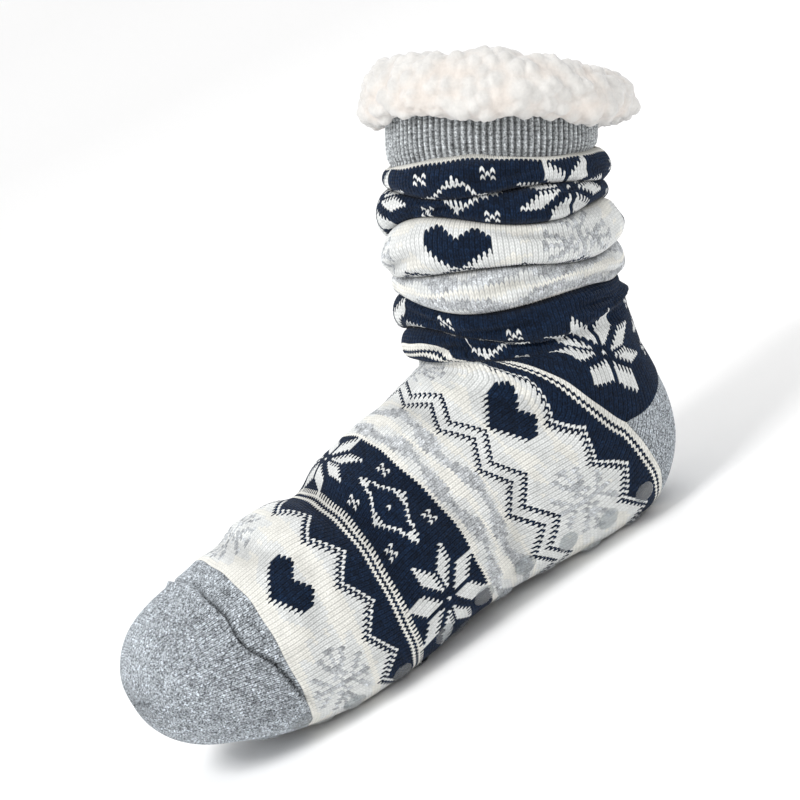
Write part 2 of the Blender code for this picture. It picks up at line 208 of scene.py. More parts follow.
# The rim stands at the end of the table, so that the last roll has a crease above it too
CREASE_ROWS = np.array([crease[1:] for crease in CREASES] + [(1, 1, 1, 1, 0, 0, 1, 1, 1, 1, 0)])
FOLDS = len(CREASES) - 1

# A height along the sock counts the sections of the foot from 0 to 21, then one step up to the ankle crease
# and one for each roll. The cuff is the last step.
ANKLE_CREASE = LAST_SECTION + 1
CUFF_EDGE = ANKLE_CREASE + FOLDS
RIM = CUFF_EDGE + 1

# Where the knit's lines lie, as heights along the sock at the front, at the side and at the sole or back.
# reach is the angle from the front, in degrees, at which a line comes to its height at the side.
# Between the side and the sole, the heel pocket parts the foot's last line from the shaft's first.
Line = namedtuple("Line", "name front side back reach", defaults=(105,))
FOOT_LINES = [Line(*row) for row in (
    ("toe cap edge", 5.80, 5.80, 5.80),
    ("ground to zigzag", 7.76, 7.76, 7.76),
    ("zigzag to star", 9.34, 9.34, 9.34),
    ("star to chain", 10.85, 11.24, 11.40),
    ("chain to double zigzag", 12.20, 12.34, 12.40),
    ("double zigzag to ground", 13.45, 13.42, 13.20),
    ("second ground to zigzag", 21.20, 15.45, 14.60, 88),
    ("second zigzag to star", 22.60, 17.70, 15.60),
)]
SHAFT_LINES = [Line(*row) for row in (
    ("second zigzag to star", 22.60, 17.70, 21.00),
    ("upper navy crease", 24.00, 24.00, 24.00),
    ("chain crease", 25.00, 25.00, 25.00),
    ("heart crease", 26.00, 26.00, 26.00),
    ("white line", 27.82, 27.82, 27.82),
    ("cuff edge", 28.00, 28.00, 28.00),
)]
CORNER_ANGLE = math.radians(105)
FRONT_ANGLE = math.radians(20)
BACK_EASE = 0.8

# Soft creases laid across the foot. y counts from the toe tip, angle from the top, in degrees.
# turn is the angle between the crease and a line round the foot.
Trough = namedtuple("Trough", "name y angle turn length width depth")
TROUGHS = [Trough(*row) for row in (
    ("over the toes", 0.058, 18, 8, 0.030, 0.0055, 0.0012),
    ("behind the toe seam", 0.066, 72, -22, 0.022, 0.0050, 0.0009),
    ("instep, front", 0.094, 14, -6, 0.042, 0.0060, 0.0017),
    ("instep, side", 0.101, 66, -28, 0.026, 0.0055, 0.0012),
    ("arch, side", 0.128, 78, 24, 0.030, 0.0065, 0.0011),
    ("arch, low", 0.150, 108, -18, 0.028, 0.0060, 0.0010),
    ("ankle, front", 0.143, 22, 10, 0.034, 0.0055, 0.0014),
    ("ankle, side", 0.172, 62, 36, 0.034, 0.0060, 0.0014),
    ("heel side", 0.205, 96, -40, 0.024, 0.0060, 0.0010),
    ("over the toes, other side", 0.060, -35, -10, 0.028, 0.0055, 0.0011),
    ("instep, other side", 0.098, -70, 22, 0.030, 0.0060, 0.0013),
    ("arch, other side", 0.136, -88, -20, 0.034, 0.0065, 0.0011),
    ("ankle, other side", 0.170, -66, -32, 0.036, 0.0060, 0.0014),
    ("heel, other side", 0.208, -100, 38, 0.026, 0.0060, 0.0010),
)]

# Wrinkles across the shaft's rolls. angle is from the front, height counts along the sock, length is in
# degrees. rise is how far the wrinkle climbs over its length.
Wrinkle = namedtuple("Wrinkle", "name angle height length width rise depth")
WRINKLES = [Wrinkle(*row) for row in (
    ("lowest roll, front", 28, 22.55, 26, 0.12, 0.16, 0.0020),
    ("lowest roll, side", 74, 22.60, 22, 0.12, -0.14, 0.0017),
    ("second roll, front", 12, 23.52, 24, 0.12, -0.18, 0.0018),
    ("second roll, side", 58, 23.45, 24, 0.11, 0.20, 0.0020),
    ("second roll, heel side", 108, 23.50, 20, 0.12, -0.12, 0.0015),
    ("chain roll, side", 66, 24.62, 30, 0.10, 0.14, 0.0018),
    ("chain roll, heel side", 122, 24.40, 22, 0.12, -0.16, 0.0017),
    ("heart roll, front", 6, 25.42, 22, 0.09, 0.14, 0.0020),
    ("heart roll, side", 84, 25.70, 28, 0.08, -0.10, 0.0017),
    ("fifth roll, front", 34, 26.52, 26, 0.12, 0.20, 0.0020),
    ("fifth roll, side", 96, 26.45, 22, 0.12, -0.18, 0.0017),
    ("upper roll, side", 62, 27.50, 30, 0.12, 0.16, 0.0018),
    ("upper roll, heel side", 128, 27.45, 20, 0.12, -0.12, 0.0015),
    ("second roll, other side", -62, 23.48, 26, 0.12, 0.18, 0.0020),
    ("chain roll, other side", -96, 24.55, 28, 0.11, -0.16, 0.0018),
    ("heart roll, other side", -54, 25.50, 26, 0.09, 0.16, 0.0018),
    ("fifth roll, other side", -118, 26.50, 26, 0.12, 0.18, 0.0018),
    ("upper roll, other side", -70, 27.48, 28, 0.12, -0.16, 0.0018),
    ("heart roll, back", 176, 25.55, 26, 0.09, -0.14, 0.0017),
)]
TROUGH_BEND = 0.12
TROUGH_REACH = 0.02
TROUGH_TAPER = 1.8
TROUGH_RIDGE = (0.45, 1.7)
WRINKLE_TAPER = 1.6
WRINKLE_RIDGE = (0.5, 1.6)
RIDGE_SLIMNESS = 1.6

# Left halves of the charts' motifs, a row for each course and a mark for each wale, from the toe upwards
HEART = (
    "......#",
    ".....##",
    "....###",
    "...####",
    "..#####",
    ".######",
    "#######",
    "#######",
    "#######",
    "######.",
    ".####..",
    "..##...",
)
SNOWFLAKE_HALF = (
    "........#",
    "....#..##",
    "....##..#",
    ".....##.#",
    "......#.#",
    ".#.....##",
    ".###....#",
    "...##.#.#",
    "#...###.#",
)
SNOWFLAKE = SNOWFLAKE_HALF + ("######.##",) + SNOWFLAKE_HALF[::-1]
HEART_WALE = 12
STAR_WALE = 36
STAR_ASPECT = 0.92
PETAL_SIDES = (0.9, 5.2)
PETAL_ENDS = (1.4, 6.4)
DIAMOND_SLOPE = 0.70
DIAMOND_ALONG = 6
DIAMOND_ACROSS = 8
MARK_ACROSS = 7
MARK_ALONG = 8
TOOTH = 12
ZIGZAG_PITCH = 5

# Fleece roll: its outline outside and inside the rim, along the shaft and out, in shares of its sizes
COLLAR_OUTER = (
    (-1.00, 0.22), (-0.88, 0.66), (-0.30, 0.93), (0.16, 1.00),
    (0.42, 0.95), (0.66, 0.76), (0.86, 0.44), (0.98, 0.04),
)
COLLAR_INNER = (
    (0.96, 0.36), (0.76, 0.78), (0.44, 1.00), (0.00, 1.04),
)
ROLL_FOOT = 0.3
LINING_MARKS = (0.5, 0.9)
LINING_END_SHARE = 0.6
WARP_SCALE, WARP_REACH, CURL_WARP = 90, 0.0016, 1.6
LOCK_SCALE, LOCK_RELIEF, LOCK_SLIMNESS = 165, 0.0026, 1.1
CURL_SCALE, CURL_RELIEF = 430, 0.0007
BILLOW_SCALE, BILLOW_RELIEF = 42, 0.0026
# Warmth of the fleece: broad patches of its own warmer tone, plus painted shade, warm and a little darker, in
# the crevices between the locks
WARMTH_SCALE, MOST_WARMTH = 60, 0.45
CREVICE_SHADE_WARMTH, LOCK_MIDDLE, PATCH_WARMTH = 0.9, 0.45, 0.5

# Looks of the fibres
WOOL_FUZZ = 0.12
WOOL_SCALE = 1500
FLEECE_FUZZ = 0.3
FLEECE_SCALE = 900
FLECK_CONTRAST = 3.4
PATCH_SCALE = 190
PATCH_CONTRAST = 0.40
DARKEST_FLECK = 0.15
ROW_GAP_LIGHT = 0.5
GRAIN_STRENGTH = 0.5
GRAIN_HEIGHT = 0.0004
UV_MARGIN = 0.002

# A dot's shape from the top out: share of its radius, share of its thickness
DOT_PROFILE = ((0.30, 1.0), (0.56, 0.98), (0.72, 0.90), (0.84, 0.66), (0.93, 0.36), (1.0, 0.0), (1.03, -0.5))
DOT_SIDES = 28
DOT_UNEVEN = 0.03
DOT_UNEVEN_TURN = 1.7

# Studio: radius and height of the floor's rings, and the lamps with their places, sizes and powers
FLOOR_RINGS = ((1.9, 0.0), (2.3, 0.05), (2.6, 0.2), (2.8, 0.45), (2.9, 0.8))
FLOOR_SIDES = 96
LAMPS = (
    ("key", (0.5, -1.2, 1.7), 0.7, 24),
    ("fill", (1.6, 0.9, 0.9), 1.2, 2),
    ("rim", (-1.2, 0.8, 1.4), 1.0, 5),
)
LAMP_TARGET = (0, 0, 0.09)
WORLD_STRENGTH = 0.80

# Yarns, and for each how strong its flecks are, how dark the painted shade in its stitches' gaps, how much
# its stitches vary
YARNS = np.array((WHITE, NAVY, PALE_GREY, GREY, RIB_GREY, COOL_WHITE))
WHITE_YARN, NAVY_YARN, PALE_YARN, GREY_YARN, RIB_YARN, COOL_YARN = range(len(YARNS))
FLECKS = np.array([0.06, 0.95, 0.62, 1.35, 1.00, 0.07])
GAP_SHADES = np.array([0.40, 0.66, 0.40, 0.76, 0.55, 0.48])
BLENDS = np.array([0.02, 0.18, 0.17, 0.18, 0.10, 0.03])
BLEND_SEED = 11
BLEND_LIMIT = 2
FLOAT_REACH = 5
PLAIN_COURSES = 64


def catmull_rom(rows, at):
    last = len(rows) - 1
    before = np.clip(np.floor(at).astype(int), 0, last - 1)
    share = (at - before)[..., None]
    p0 = rows[np.maximum(before - 1, 0)]
    p1 = rows[before]
    p2 = rows[before + 1]
    p3 = rows[np.minimum(before + 2, last)]
    straight = p1 + (p2 - p0) * 0.5 * share
    square = (p0 - 2.5 * p1 + 2 * p2 - 0.5 * p3) * share**2
    cube = (1.5 * (p1 - p2) + 0.5 * (p3 - p0)) * share**3
    return straight + square + cube


def signed_power(values, power):
    return np.sign(values) * np.abs(values) ** power


def smooth(values):
    values = np.clip(values, 0, 1)
    return values * values * (3 - 2 * values)


def from_front(theta):
    """The angle from the front or the top, from 0 to pi, on both sides alike."""
    return np.abs((theta + math.pi) % math.tau - math.pi)


def seam_distance(height, theta):
    """How far a height is from the toe seam, in half widths of the seam, which wanders a little."""
    seam = TOE_SEAM_ROW + TOE_SEAM_SWEEP * (1 - np.cos(theta))
    bulge = SEAM_BULGE * np.exp(-(((from_front(theta) - SEAM_BULGE_ANGLE) / SEAM_BULGE_REACH) ** 2))
    return (height - seam) / TOE_SEAM_HALF_WIDTH + bulge - SEAM_WAVE * np.sin(9 * theta)


def seam_fade(theta):
    """The seam's strength, which fades out under the toes."""
    return np.clip((TOE_SEAM_END - from_front(theta)) / (TOE_SEAM_END - TOE_SEAM_FADE), 0, 1)


def foot_points(height, theta):
    curve = np.moveaxis(catmull_rom(SECTION_ROWS, height), -1, 0)
    top_y, top_z, sole_y, sole_z, width, top_power, sole_power = curve
    power = np.where(np.cos(theta) > 0, top_power, sole_power)
    ridge = TOE_SEAM_HEIGHT * seam_fade(theta) * np.clip(1 - np.abs(seam_distance(height, theta)), 0, 1)
    upward = signed_power(np.cos(theta), 2 / power)
    x = signed_power(np.sin(theta), 2 / power) * (np.maximum(width, 0) * BALL_WIDTH / 2 + ridge)
    y = (top_y + sole_y) / 2 * FOOT_LENGTH + upward * (top_y - sole_y) / 2 * FOOT_LENGTH
    z = (top_z + sole_z) / 2 * ANKLE_HEIGHT + upward * ((top_z - sole_z) / 2 * ANKLE_HEIGHT + ridge)
    return np.stack([x, y + TOE_Y, np.maximum(z, 0) + SOLE_LIFT], axis=-1)


def shaft_points(share, theta, out):
    radius = SHAFT_LENGTH / (RIM_LEAN - SHAFT_LEAN)
    lean = SHAFT_LEAN + (RIM_LEAN - SHAFT_LEAN) * share
    centre_y = SHAFT_FOOT_Y + radius * (math.cos(SHAFT_LEAN) - np.cos(lean)) + TOE_Y
    centre_z = SHAFT_FOOT_Z + radius * (np.sin(lean) - math.sin(SHAFT_LEAN)) + SOLE_LIFT
    forward = (SHAFT_DEPTH / 2 + out) * np.cos(theta)
    across = (SHAFT_WIDTH / 2 + out) * np.sin(theta)
    return np.stack([across, centre_y - forward * np.cos(lean), centre_z + forward * np.sin(lean)], axis=-1)


def around_interpolated(front, side, back, other, theta):
    mean = (front + side + back + other) / 4
    twice = (front + back - side - other) / 4
    turn = (front - back) / 2 * np.cos(theta) + (side - other) / 2 * np.sin(theta)
    return mean + turn + twice * np.cos(2 * theta)


def crease_lines(number, theta):
    """Place, depth and rise of the creases with the given numbers. The one past the last is the rim."""
    columns = np.moveaxis(CREASE_ROWS[number], -1, 0)
    front, side, back, other, wave, swing, d_front, d_side, d_back, d_other, rise = columns
    place = around_interpolated(front, side, back, other, theta) + wave * np.sin(3 * theta + swing)
    return place, around_interpolated(d_front, d_side, d_back, d_other, theta), rise


def fold_points(height, theta):
    number = np.clip(np.floor(height - ANKLE_CREASE).astype(int), 0, FOLDS - 1)
    along = np.clip(height - ANKLE_CREASE - number, 0, 1)
    low, low_depth, rise = crease_lines(number, theta)
    high, high_depth, _ = crease_lines(number + 1, theta)
    depth = low_depth + (high_depth - low_depth) * along
    rounded = (1 - np.cos(math.pi * along)) / 2
    place = low + (high - low) * (along + (rounded - along) * depth)
    fold = np.minimum(FOLD_HEIGHT * rise, FOLD_SLIMNESS * (high - low) * SHAFT_LENGTH)
    arch = np.sin(math.pi * along)
    out = FOLD_HEIGHT * (1 - depth) * (1 - arch) + fold * arch
    droop = FOLD_DROOP * (out / FOLD_HEIGHT) ** 2 / SHAFT_LENGTH
    return shaft_points(place - droop, theta, out)


def cuff_points(height, theta):
    low, _, _ = crease_lines(np.full(height.shape, FOLDS), theta)
    along = np.clip(height - CUFF_EDGE, 0, 1)
    return shaft_points(low + (1 - low) * along, theta, CUFF_STEP * np.minimum(1, along * CUFF_STEP_RISE))


def knit_points(height, theta):
    """Points of the outer face of the knit, at heights along the sock and angles from the front."""
    height, theta = np.broadcast_arrays(height, theta)
    foot = foot_points(np.clip(height, 0, LAST_SECTION), theta)
    fold = fold_points(np.maximum(height, ANKLE_CREASE), theta)
    link = np.clip(height - LAST_SECTION, 0, 1)[..., None]
    low = foot + (fold - foot) * link
    return np.where((height > CUFF_EDGE)[..., None], cuff_points(height, theta), low)


def line_height(line, theta):
    """The height of a knit line at each angle, eased from the front to the side and on to the sole."""
    angle = from_front(theta)
    to_side = smooth((angle - FRONT_ANGLE) / (math.radians(line.reach) - FRONT_ANGLE))
    to_back = np.clip((angle - CORNER_ANGLE) / (math.pi - CORNER_ANGLE), 0, 1) ** BACK_EASE
    return line.front + (line.side - line.front) * to_side + (line.back - line.side) * to_back


def grid_normals(points, wrap=True):
    """Directions out of a grid of points. wrap joins its last column to its first."""
    along = np.gradient(points, axis=0)
    if wrap:
        around = np.roll(points, -1, axis=1) - np.roll(points, 1, axis=1)
    else:
        around = np.gradient(points, axis=1)
    normals = np.cross(around, along)
    return normals / np.maximum(np.linalg.norm(normals, axis=-1, keepdims=True), 1e-12)


def grid_noise(points, scale):
    values = [noise.noise(Vector(point) * scale) for point in points.reshape(-1, 3)]
    return np.array(values).reshape(points.shape[:-1])


def dent(across, ridge):
    """The shape of a crease from side to side, with a ridge beside each edge, given by height and place."""
    height, place = ridge
    beside = height * np.exp(-((np.abs(across) - place) ** 2) * RIDGE_SLIMNESS)
    return np.exp(-(across**2)) - beside


def trough_depth(points):
    """Depth of the creases laid by hand across the foot, at each point."""
    depth = np.zeros(points.shape[:-1])
    heights = np.linspace(0.5, LAST_SECTION, TRACK_SAMPLES)
    for trough in TROUGHS:
        theta = np.full(heights.shape, math.radians(trough.angle))
        track = foot_points(heights, theta)
        nearest = np.argmin(np.abs(track[:, 1] - TOE_Y - trough.y))
        centre = track[nearest]
        along = track[min(nearest + 1, TRACK_SAMPLES - 1)] - track[max(nearest - 1, 0)]
        along /= np.linalg.norm(along)
        side = foot_points(heights[nearest : nearest + 1], theta[:1] + ANGLE_STEP)[0] - centre
        side /= np.linalg.norm(side)
        turn = math.radians(trough.turn)
        run = side * math.cos(turn) + along * math.sin(turn)
        cross = along * math.cos(turn) - side * math.sin(turn)
        offset = points - centre
        lengthwise = offset @ run / trough.length
        bend = TROUGH_BEND * trough.length * lengthwise**2
        crosswise = (offset @ cross - bend) / trough.width
        near = np.exp(-((offset @ np.cross(run, cross)) / TROUGH_REACH) ** 2)
        shape = dent(crosswise, TROUGH_RIDGE)
        depth += trough.depth * shape * np.exp(-(lengthwise**2) * TROUGH_TAPER) * near
    return depth


def wrinkle_depth(heights, theta):
    """Depth of the shaft's wrinkles at each point."""
    depth = np.zeros(heights.shape)
    for wrinkle in WRINKLES:
        turn = (np.degrees(theta) - wrinkle.angle + 180) % 360 - 180
        along = turn / wrinkle.length
        across = (heights - wrinkle.height - wrinkle.rise * along) / wrinkle.width
        shape = dent(across, WRINKLE_RIDGE)
        depth += wrinkle.depth * shape * np.exp(-(along**2) * WRINKLE_TAPER)
    return depth


def seam_groove(heights, theta):
    """Depth of the groove beside the toe seam, and the light that reaches into it."""
    wave = GROOVE_WAVE * np.sin(4 * theta + 0.6)
    beside = seam_distance(heights, theta) - GROOVE_PLACE - wave
    strength = GROOVE_TOP_SHARE + (1 - GROOVE_TOP_SHARE) * smooth(from_front(theta) / SEAM_START)
    seam = seam_fade(theta) * strength
    depth = GROOVE_DEPTH * seam * np.exp(-((beside * GROOVE_SLIMNESS) ** 2))
    light = 1 - GROOVE_SHADE * seam * np.exp(-((beside * GROOVE_SHADE_SLIMNESS) ** 2))
    return depth, light


def crease_light(height, theta):
    """Light that reaches the bottoms of the shaft's creases."""
    number = np.clip(np.round(height - ANKLE_CREASE).astype(int), 0, FOLDS)
    _, depth, _ = crease_lines(number, theta)
    near = np.exp(-(((height - ANKLE_CREASE - number) / CREASE_SHADE_WIDTH) ** 2))
    darkness = np.where(number == FOLDS, CUFF_EDGE_SHADE, CREASE_SHADE)
    return 1 - darkness * np.clip(CREASE_SHADE_GAIN * depth - CREASE_SHADE_START, 0, 1) * near


def waves(table, height, theta):
    """The sum of waves, each with a size, turns with the height and round the sock, and a start."""
    return sum(size * np.sin(rise * height + around * theta + start) for size, rise, around, start in table)


def wobble(height, theta):
    """Small unevenness of the fabric, so that no two courses lie quite alike."""
    fade = smooth(height / TIP_FADE_END)
    return height + waves(ROW_WAVES, height, theta) * fade, theta + waves(WALE_WAVES, height, theta) * fade


def new_object(name, mesh):
    obj = bpy.data.objects.new(name, mesh)
    bpy.context.scene.collection.objects.link(obj)
    return obj


def new_mesh(name, points, faces, material, nodes, colors=None, uvs=None, shade=1.0, fleck=0.0,
             across=1.0, course=0.5, gap_shade=0.0):
    """A mesh on the sock. shade, across and course go with its points, fleck and the stitches' gap shade with
    its faces. shade, across and the gap shade are painted shade.
    """
    mesh = bpy.data.meshes.new(name)
    mesh.vertices.add(len(points))
    mesh.vertices.foreach_set("co", np.asarray(points, np.float32).ravel())
    faces = np.asarray(faces)
    sides = faces.shape[1]
    mesh.loops.add(faces.size)
    mesh.loops.foreach_set("vertex_index", faces.ravel().astype(np.int32))
    mesh.polygons.add(len(faces))
    mesh.polygons.foreach_set("loop_start", np.arange(len(faces), dtype=np.int32) * sides)
    mesh.update(calc_edges=True)
    mesh.shade_smooth()
    if colors is not None:
        layer = mesh.uv_layers.new(name="OFBake")
        layer.data.foreach_set("uv", np.asarray(uvs, np.float32).ravel())
        attribute = mesh.attributes.new("yarn", "FLOAT_COLOR", "FACE")
        rgba = np.concatenate([colors, np.ones((len(colors), 1))], axis=1)
        attribute.data.foreach_set("color", rgba.astype(np.float32).ravel())
        for label, values, domain, count in (
            ("shade", shade, "POINT", len(points)),
            ("across", across, "POINT", len(points)),
            ("course", course, "POINT", len(points)),
            ("fleck", fleck, "FACE", len(faces)),
            ("gap_shade", gap_shade, "FACE", len(faces)),
        ):
            attribute = mesh.attributes.new(label, "FLOAT", domain)
            full = np.broadcast_to(np.ravel(values), count)
            attribute.data.foreach_set("value", full.astype(np.float32))
    mesh.materials.append(material)
    obj = new_object(name, mesh)
    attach(obj, "root")
    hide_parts(*nodes)
    return obj


def grid_faces(rows, columns, wrap=True):
    """Quads of a grid, wound so that they face away from the axis, and the corners' places on the grid."""
    across = columns if wrap else columns - 1
    i, j = np.meshgrid(np.arange(rows - 1), np.arange(across), indexing="ij")
    i, j = i.ravel(), j.ravel()
    n = (j + 1) % columns
    quads = np.stack([i * columns + j, i * columns + n, (i + 1) * columns + n, (i + 1) * columns + j], axis=1)
    u = np.stack([j, j + 1, j + 1, j], axis=1) / across
    v = np.stack([i, i, i + 1, i + 1], axis=1) / (rows - 1)
    uv = np.stack([u, v], axis=2) * (1 - 2 * UV_MARGIN) + UV_MARGIN
    return quads, uv, i, j


def band_faces(start, rings, sides):
    """Quads between rings of points that follow one another, the first of them at start."""
    faces = []
    for ring in range(rings - 1):
        low = start + ring * sides
        for side in range(sides):
            after = (side + 1) % sides
            faces.append((low + side, low + sides + side, low + sides + after, low + after))
    return faces


def even_angles(height):
    """Angles that space the wales evenly round one ring of the sock."""
    fine = np.linspace(0, math.tau, RING_SAMPLES)
    points = knit_points(np.full(fine.shape, height), fine)
    length = np.concatenate([[0], np.cumsum(np.linalg.norm(np.diff(points, axis=0), axis=1))])
    return np.interp(np.arange(COLUMNS) / COLUMNS * length[-1], length, fine)


ANGLE_HEIGHTS = np.array([0.5, 3.0, 6.0, 9.0, 12.0, 14.0, 16.0, 18.0, 20.0, 22.0, 25.0, 28.0])
RING_ANGLES = np.array([even_angles(height) for height in ANGLE_HEIGHTS])


def wale_angles(heights):
    """Angles of the wales at the given heights, with a column for each."""
    place = np.interp(heights, ANGLE_HEIGHTS, np.arange(len(ANGLE_HEIGHTS)))
    before = np.minimum(place.astype(int), len(ANGLE_HEIGHTS) - 2)
    share = place - before
    column = np.broadcast_to(np.arange(COLUMNS), heights.shape)
    return RING_ANGLES[before, column] * (1 - share) + RING_ANGLES[before + 1, column] * share


def line_on_wales(line):
    """The height at which each column meets a line of the knit."""
    theta = even_angles(LINE_START_HEIGHT)
    for _ in range(LINE_ROUNDS):
        height = line_height(line, theta)
        theta = wale_angles(height)
    return height


def course_rows(low, high, courses):
    """Heights of a band's rows, one a course. What is too long for its place lies gathered in the creases."""
    heights = low + (high - low) * np.linspace(0, 1, BAND_SAMPLES)[:, None]
    points = knit_points(heights, wale_angles(heights))
    steps = np.linalg.norm(np.diff(points, axis=0), axis=-1)
    length = steps.sum(axis=0)
    middle = (heights[1:] + heights[:-1]) / 2
    crease = np.clip(np.round(middle), ANKLE_CREASE, CUFF_EDGE)
    gather = np.exp(-(((middle - crease) / GATHER_WIDTH) ** 2)) + TINY
    gather = gather / gather.sum(axis=0)
    surplus = np.maximum(courses - length / COURSE, 0)
    surplus = np.where(high > ANKLE_CREASE, surplus, 0)
    count = steps / length * (courses - surplus) + surplus * gather
    reached = np.concatenate([np.zeros((1, COLUMNS)), np.cumsum(count, axis=0)])
    marks = np.arange(courses + 1)
    return np.stack([np.interp(marks, reached[:, j], heights[:, j]) for j in range(COLUMNS)], axis=1)


def side_courses(low_line, high_line):
    """The number of courses that fit between two lines of the knit at the sock's side."""
    low, high = [line_on_wales(line)[COLUMNS // 4] for line in (low_line, high_line)]
    heights = np.linspace(low, high, BAND_SAMPLES)
    column = RING_ANGLES[:, COLUMNS // 4]
    theta = np.interp(heights, ANGLE_HEIGHTS, column)
    points = knit_points(heights, theta)
    return round(np.linalg.norm(np.diff(points, axis=0), axis=1).sum() / COURSE)


def slanted(heights, split):
    """Slants the rows of each stitch, so that its two legs meet in a V that points to the cuff."""
    tips = LEG_TIPS[np.arange(heights.shape[1]) % WALE_COLUMNS]
    slant = np.gradient(heights, axis=0) * split * (tips - 0.5) * LEG_SLANT
    slant[0] = 0
    slant[-1] = 0
    return heights + slant


def stitched(name, material, heights, theta, chart, wrap=True, sink=0.0, split=1):
    """A piece of knit on a grid of heights and angles, with split rows a course and four columns a wale."""
    rows, columns = heights.shape
    in_wale = np.arange(columns) % WALE_COLUMNS
    heights, theta = wobble(heights, theta)
    heights = slanted(heights, split)
    points = knit_points(heights, theta)
    normals = grid_normals(points, wrap)

    spacing = np.linalg.norm(np.gradient(points, axis=0), axis=-1) * split
    wale_width = WALE_COLUMNS * np.linalg.norm(np.gradient(points, axis=1), axis=-1)
    fineness = np.clip(wale_width / WALE_WIDTH, 0, 1) ** 2
    relief = LEG_HEIGHTS[in_wale] * STITCH_HEIGHT * np.clip(spacing / COURSE, LEAST_RELIEF, 1) * fineness
    dents = trough_depth(points) + wrinkle_depth(heights, theta)
    groove, groove_light = seam_groove(heights, theta)
    swell = SWELL_HEIGHT * grid_noise(points, SWELL_SCALE) * smooth(heights / TIP_FADE_END)
    points = points + normals * (relief - dents - sink - groove + swell)[..., None]
    points[..., 2] = np.maximum(points[..., 2], LOWEST_KNIT)

    quads, uv, i, j = grid_faces(rows, columns, wrap)
    on_leg = (j + 1) % WALE_COLUMNS < 2
    colors, yarn = chart(i // split, j // WALE_COLUMNS, on_leg)
    shade = crease_light(heights, theta) * (1 - DENT_SHADE * np.maximum(dents, 0)) * groove_light
    # Painted shade in the gaps between the stitches' legs, faded out where the wales crowd together
    across = 1 - (1 - LEG_PAINTED_LIGHTS[in_wale]) * fineness
    course = np.broadcast_to(np.arange(rows)[:, None] / split, heights.shape)
    return new_mesh(name, points.reshape(-1, 3), quads, material, ["knit_upper"], colors, uv,
                    shade, FLECKS[yarn], across, course, GAP_SHADES[yarn])


def paint_motif(chart, motif, wale, course, yarn):
    """Paints a motif, the same on both sides of its middle wale."""
    for row, half in enumerate(motif):
        for away, mark in enumerate(reversed(half)):
            if mark == "#" and 0 <= course + row < len(chart):
                chart[course + row, [(wale - away) % REPEAT, (wale + away) % REPEAT]] = yarn


def ground_chart(courses):
    """Off-white with a heart and a pale snowflake by turns."""
    chart = np.full((courses, REPEAT), WHITE_YARN)
    paint_motif(chart, HEART, HEART_WALE, (courses - len(HEART)) // 2, NAVY_YARN)
    paint_motif(chart, SNOWFLAKE, STAR_WALE, (courses - len(SNOWFLAKE)) // 2, PALE_YARN)
    return chart


def tooth_steps():
    """The course of a zigzag at each wale of the repeat."""
    return np.abs((np.arange(REPEAT) % TOOTH) - TOOTH // 2)


def zigzag_chart(courses):
    """A thin zigzag, a white one, navy up to a straight edge, then fine lines."""
    chart = np.full((courses, REPEAT), WHITE_YARN)
    white_rows, fine_rows = 2, 4
    for wale, step in enumerate(tooth_steps()):
        chart[step, wale] = NAVY_YARN
        chart[step + white_rows : courses - fine_rows, wale] = NAVY_YARN
    chart[courses - fine_rows + 1] = NAVY_YARN
    return chart


def wales_from(centre, wale):
    """How many wales lie between each wale of the repeat and the given one."""
    return np.abs((wale - centre + REPEAT // 2) % REPEAT - REPEAT // 2)


def star_chart(courses, centre=None):
    """Navy with an eight-pointed star and a lattice of single stitches by turns."""
    course, wale = np.indices((courses, REPEAT))
    along = np.abs(course - (courses // 2 if centre is None else centre))
    chart = np.full((courses, REPEAT), NAVY_YARN)
    across = wales_from(STAR_WALE, wale)
    near, far = np.minimum(across, along * STAR_ASPECT), np.maximum(across, along * STAR_ASPECT)
    petal = (near >= PETAL_SIDES[0]) & (near <= PETAL_SIDES[1])
    petal &= (far - near >= PETAL_ENDS[0]) & (far - near <= PETAL_ENDS[1])
    chart[petal | (across + along == 0)] = WHITE_YARN

    across = wales_from(HEART_WALE, wale)
    side = np.round(across * DIAMOND_SLOPE) + along == DIAMOND_ALONG
    chart[side & (across <= DIAMOND_ACROSS)] = WHITE_YARN
    for corner_across, corner_along in ((0, DIAMOND_ALONG), (DIAMOND_ACROSS, 0)):
        chart[np.abs(across - corner_across) + np.abs(along - corner_along) <= 1] = WHITE_YARN
    mark_across, mark_along = np.abs(across - MARK_ACROSS), np.abs(along - MARK_ALONG)
    mark = (mark_across == mark_along) & (mark_across <= 1)
    chart[mark | (across + along == 0)] = WHITE_YARN
    return chart


def chain_chart(courses):
    """Off-white with two pale stripes that wander and swell."""
    course, wale = np.indices((courses, REPEAT))
    chart = np.full((courses, REPEAT), WHITE_YARN)
    wave_height, wave_wales = 1.1, 24
    half_width, swell_height, swell_wales, swell_start = 1.5, 0.7, 12, 2.3
    turn = math.tau * wale
    for middle, start in ((0.24, 0.0), (0.76, 2.0)):
        wave = middle * (courses - 1) + wave_height * np.sin(turn / wave_wales + start)
        swell = swell_height * np.sin(turn / swell_wales + swell_start * start)
        chart[np.abs(course - wave) < half_width + swell] = PALE_YARN
    return chart


def double_zigzag_chart(courses):
    """Off-white with two thin zigzags that run side by side."""
    chart = np.full((courses, REPEAT), WHITE_YARN)
    for wale, step in enumerate(tooth_steps()):
        for start in (0, ZIGZAG_PITCH):
            chart[min(step + start, courses - 1), wale] = NAVY_YARN
    return chart


def heart_roll_chart(courses):
    """The ground again, with dashes of the zigzag in the crease below it."""
    chart = ground_chart(courses)
    for wale, step in enumerate(tooth_steps()):
        chart[1 + step // 2, wale] = NAVY_YARN
    return chart


def upper_navy_chart(courses):
    """The navy rolls under the cuff, with the star across the crease between them."""
    chart = star_chart(courses)
    chart[0] = WHITE_YARN
    return chart


